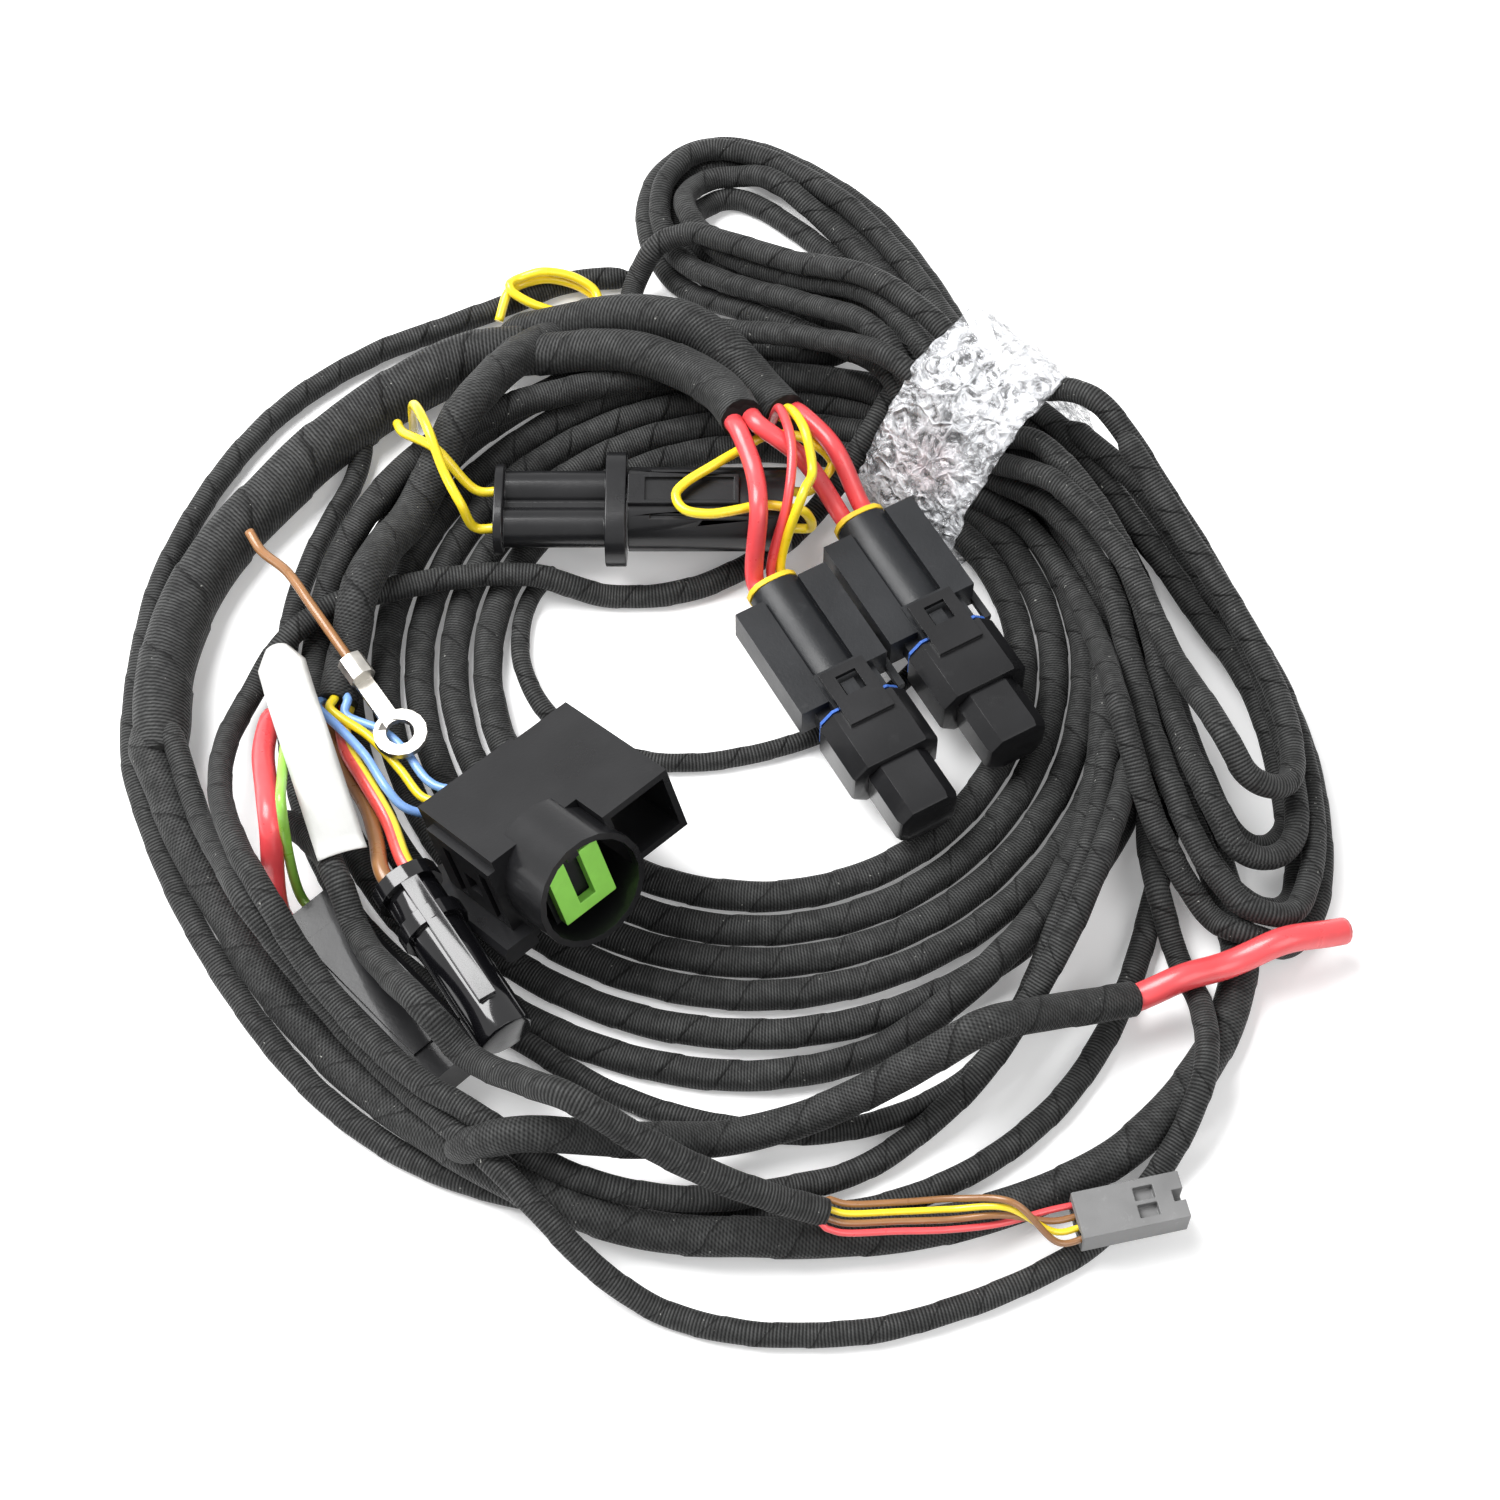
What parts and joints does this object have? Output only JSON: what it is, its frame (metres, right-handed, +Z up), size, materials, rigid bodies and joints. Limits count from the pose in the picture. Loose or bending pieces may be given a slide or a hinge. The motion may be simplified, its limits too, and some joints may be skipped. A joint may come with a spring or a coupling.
{
  "type": "wiring harness",
  "caption": "Coiled automotive wiring harness: taped cords, a tied hank, fuse holders and several plug connectors on short leads.",
  "frame": {"origin": "under the middle of the harness as it lies, on the ground", "axes": "+Z up from the ground; +Y from the low round end of the coil towards the tip of the tied hank; +X to the right"},
  "size_m": [0.2268, 0.2654, 0.0411],
  "materials": {
    "cloth_tape": "matt cloth tape, ribbed",
    "housing_black": "satin",
    "gloss_black": "gloss",
    "grey": "matt",
    "lime": "satin",
    "seal_blue": "matt",
    "seal_yellow": "matt",
    "tin": "tinned",
    "clear_film": "clear, crinkled",
    "wire_red": "satin insulation",
    "wire_yellow": "satin insulation",
    "wire_brown": "satin insulation",
    "wire_blue": "satin insulation",
    "wire_green": "satin insulation"
  },
  "bodies": {
    "root": {"flat_box": "housing_black", "round_connector": "gloss_black", "sealed_socket": "housing_black", "sealed_plug": "housing_black", "yellow_lead_1": "wire_yellow", "yellow_lead_2": "wire_yellow", "yellow_jumper": "wire_yellow", "holder_a_body": "housing_black", "holder_a_cap": "housing_black", "holder_a_gasket": "seal_blue", "holder_a_seal": "seal_yellow", "holder_b_body": "housing_black", "holder_b_cap": "housing_black", "holder_b_gasket": "seal_blue", "holder_b_seal": "seal_yellow", "feed_a": "wire_red", "feed_b1": "wire_red", "feed_b2": "wire_red", "signal_a_yellow": "wire_yellow", "signal_a_red": "wire_red", "yellow_coil": "wire_yellow", "brown_lead": "wire_brown", "striped_lead": "wire_red", "green_connector_housing": "housing_black", "green_connector_retainer": "lime", "blue_lead_1": "wire_blue", "yellow_signal": "wire_yellow", "blue_lead_2": "wire_blue", "box_red": "wire_red", "box_green": "wire_green", "grey_plug": "grey", "plug_lead_1": "wire_red", "plug_lead_2": "wire_brown", "plug_lead_3": "wire_yellow", "plug_lead_4": "wire_brown", "red_cable": "wire_red", "ring_terminal": "tin", "terminal_lead": "wire_brown", "film": "clear_film", "plug_branch": "cloth_tape", "inner_branch": "cloth_tape", "coil_inner_turns_1": "cloth_tape", "coil_inner_turns_2": "cloth_tape", "coil_main_turn": "cloth_tape", "coil_last_turn": "cloth_tape", "thin_branch": "cloth_tape", "left_branch": "cloth_tape", "trunk": "cloth_tape", "main_strand": "cloth_tape", "fuse_sleeve_low": "cloth_tape", "fuse_sleeve_high": "cloth_tape", "loop_strand": "cloth_tape", "crossing_branch": "cloth_tape", "taped_stub": "cloth_tape", "red_branch": "cloth_tape", "hank_low": "cloth_tape", "hank_middle": "cloth_tape", "hank_top": "cloth_tape"}
  },
  "joints": []
}
